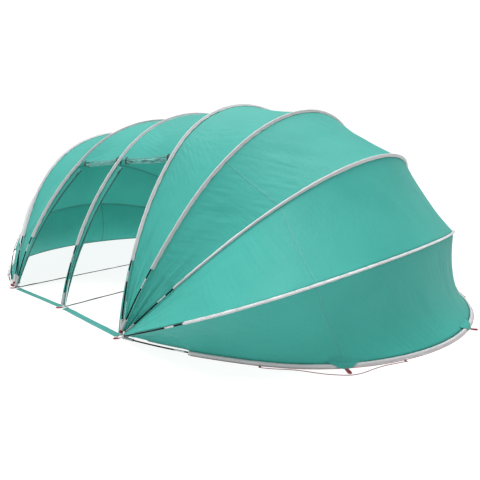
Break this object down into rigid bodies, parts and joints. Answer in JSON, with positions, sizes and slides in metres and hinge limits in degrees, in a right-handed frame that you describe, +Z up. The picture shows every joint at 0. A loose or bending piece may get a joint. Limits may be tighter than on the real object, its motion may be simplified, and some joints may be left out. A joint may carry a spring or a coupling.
{
  "type": "tunnel tent",
  "caption": "Tunnel tent with arched poles in outside sleeves, fan-shaped ends that fold about hubs, and rolled-up front doors.",
  "frame": {"origin": "on the ground, in the middle of the pitched tent", "axes": "+X along the tent to its right end, +Y to the closed back wall, +Z up"},
  "size_m": [6.398, 4.159, 2.0525],
  "materials": {
    "fibreglass": "black pultruded fibreglass, satin",
    "ferrule": "light steel ferrules",
    "sleeve_fabric": "light grey woven polyester",
    "canopy_fabric": "sea green coated polyester, fine plain weave",
    "canopy_trim": "sea green coated polyester hems",
    "zip_tape": "dark zip tape with coil",
    "black_webbing": "black webbing",
    "red_webbing": "dark red webbing",
    "cord": "dark red braided cord",
    "zip_metal": "black coated zip slider"
  },
  "bodies": {
    "tunnel": {"left_main_pole": "fibreglass", "mid_pole": "fibreglass", "right_main_pole": "fibreglass", "main_ferrules": "ferrule", "left_main_sleeve": "sleeve_fabric", "mid_sleeve": "sleeve_fabric", "right_main_sleeve": "sleeve_fabric", "left_roof_panel": "canopy_fabric", "right_roof_panel": "canopy_fabric", "left_door_roll": "canopy_fabric", "right_door_roll": "canopy_fabric", "door_ties": "black_webbing", "door_jambs": "canopy_trim", "door_zips": "zip_tape", "sill_bands": "canopy_trim", "floor_straps": "black_webbing", "foot_pockets": "sleeve_fabric", "foot_loops": "red_webbing"},
    "left_fan_1": {"left_fan_1_pole": "fibreglass", "left_fan_1_ferrules": "ferrule", "left_fan_1_sleeve": "sleeve_fabric", "left_fan_1_panel": "canopy_fabric"},
    "left_fan_2": {"left_fan_2_pole": "fibreglass", "left_fan_2_ferrules": "ferrule", "left_fan_2_sleeve": "sleeve_fabric", "left_fan_2_panel": "canopy_fabric"},
    "left_fan_3": {"left_fan_3_pole": "fibreglass", "left_fan_3_ferrules": "ferrule", "left_fan_3_sleeve": "sleeve_fabric", "left_fan_3_panel": "canopy_fabric"},
    "left_ring": {"left_ring_pole": "fibreglass", "left_ring_ferrules": "ferrule", "left_ring_sleeve": "sleeve_fabric", "left_ring_panel": "canopy_fabric", "left_ring_loops": "red_webbing", "left_front_cord": "cord", "left_back_cord": "cord"},
    "right_fan_1": {"right_fan_1_pole": "fibreglass", "right_fan_1_ferrules": "ferrule", "right_fan_1_sleeve": "sleeve_fabric", "right_fan_1_panel": "canopy_fabric"},
    "right_fan_2": {"right_fan_2_pole": "fibreglass", "right_fan_2_ferrules": "ferrule", "right_fan_2_sleeve": "sleeve_fabric", "right_fan_2_panel": "canopy_fabric"},
    "right_fan_3": {"right_fan_3_pole": "fibreglass", "right_fan_3_ferrules": "ferrule", "right_fan_3_sleeve": "sleeve_fabric", "right_fan_3_panel": "canopy_fabric"},
    "right_ring": {"right_ring_pole": "fibreglass", "right_ring_ferrules": "ferrule", "right_ring_sleeve": "sleeve_fabric", "right_ring_panel": "canopy_fabric", "right_ring_loops": "red_webbing", "right_front_cord": "cord", "right_back_cord": "cord"},
    "left_outer_slider": {"left_outer_zip_slider": "zip_metal"},
    "left_inner_slider": {"left_inner_zip_slider": "zip_metal"},
    "right_outer_slider": {"right_outer_zip_slider": "zip_metal"},
    "right_inner_slider": {"right_inner_zip_slider": "zip_metal"}
  },
  "joints": [
    {"name": "left_fan_1_fold", "type": "hinge", "parent": "tunnel", "child": "left_fan_1", "pos_m": [-1.056, 0, 0.016], "axis": [0, 1, 0], "range_deg": [0, 21.5], "deforming": ["left_fan_1_panel"]},
    {"name": "left_fan_2_fold", "type": "hinge", "parent": "left_fan_1", "child": "left_fan_2", "pos_m": [-1.056, 0, 0.016], "axis": [0, 1, 0], "range_deg": [0, 16.32], "deforming": ["left_fan_2_panel"]},
    {"name": "left_fan_3_fold", "type": "hinge", "parent": "left_fan_2", "child": "left_fan_3", "pos_m": [-1.056, 0, 0.016], "axis": [0, 1, 0], "range_deg": [0, 15.91], "deforming": ["left_fan_3_panel"]},
    {"name": "left_ring_fold", "type": "hinge", "parent": "left_fan_3", "child": "left_ring", "pos_m": [-1.056, 0, 0.016], "axis": [0, 1, 0], "range_deg": [0, 12.82], "deforming": ["left_ring_panel"]},
    {"name": "right_fan_1_fold", "type": "hinge", "parent": "tunnel", "child": "right_fan_1", "pos_m": [1.056, 0, 0.016], "axis": [0, -1, 0], "range_deg": [0, 15.1], "deforming": ["right_fan_1_panel"]},
    {"name": "right_fan_2_fold", "type": "hinge", "parent": "right_fan_1", "child": "right_fan_2", "pos_m": [1.056, 0, 0.016], "axis": [0, -1, 0], "range_deg": [0, 16.31], "deforming": ["right_fan_2_panel"]},
    {"name": "right_fan_3_fold", "type": "hinge", "parent": "right_fan_2", "child": "right_fan_3", "pos_m": [1.056, 0, 0.016], "axis": [0, -1, 0], "range_deg": [0, 15.91], "deforming": ["right_fan_3_panel"]},
    {"name": "right_ring_fold", "type": "hinge", "parent": "right_fan_3", "child": "right_ring", "pos_m": [1.056, 0, 0.016], "axis": [0, -1, 0], "range_deg": [0, 12.81], "deforming": ["right_ring_panel"]},
    {"name": "left_outer_zip_slide", "type": "hinge", "parent": "tunnel", "child": "left_outer_slider", "pos_m": [-1.27484, 0.99837, -0.5986], "axis": [-0.967, -0.0277, 0.2531], "range_deg": [-21, 0]},
    {"name": "left_inner_zip_slide", "type": "hinge", "parent": "tunnel", "child": "left_inner_slider", "pos_m": [0.05606, 0.97808, -0.59694], "axis": [-0.9996, 0.0286, 0.0018], "range_deg": [-21, 0]},
    {"name": "right_outer_zip_slide", "type": "hinge", "parent": "tunnel", "child": "right_outer_slider", "pos_m": [1.20497, 0.99837, -0.61916], "axis": [-0.9892, 0.0277, -0.1437], "range_deg": [-21, 0]},
    {"name": "right_inner_zip_slide", "type": "hinge", "parent": "tunnel", "child": "right_inner_slider", "pos_m": [-0.10503, 0.97808, -0.59047], "axis": [-0.9965, -0.0286, 0.0784], "range_deg": [-21, 0]}
  ],
  "couplings": [
    {"joint": "left_fan_2_fold", "follows": "left_fan_1_fold", "ratio": 0.75814},
    {"joint": "left_fan_3_fold", "follows": "left_fan_1_fold", "ratio": 0.73953},
    {"joint": "left_ring_fold", "follows": "left_fan_1_fold", "ratio": 0.59535},
    {"joint": "right_fan_2_fold", "follows": "right_fan_1_fold", "ratio": 1.0795},
    {"joint": "right_fan_3_fold", "follows": "right_fan_1_fold", "ratio": 1.053},
    {"joint": "right_ring_fold", "follows": "right_fan_1_fold", "ratio": 0.84768}
  ]
}
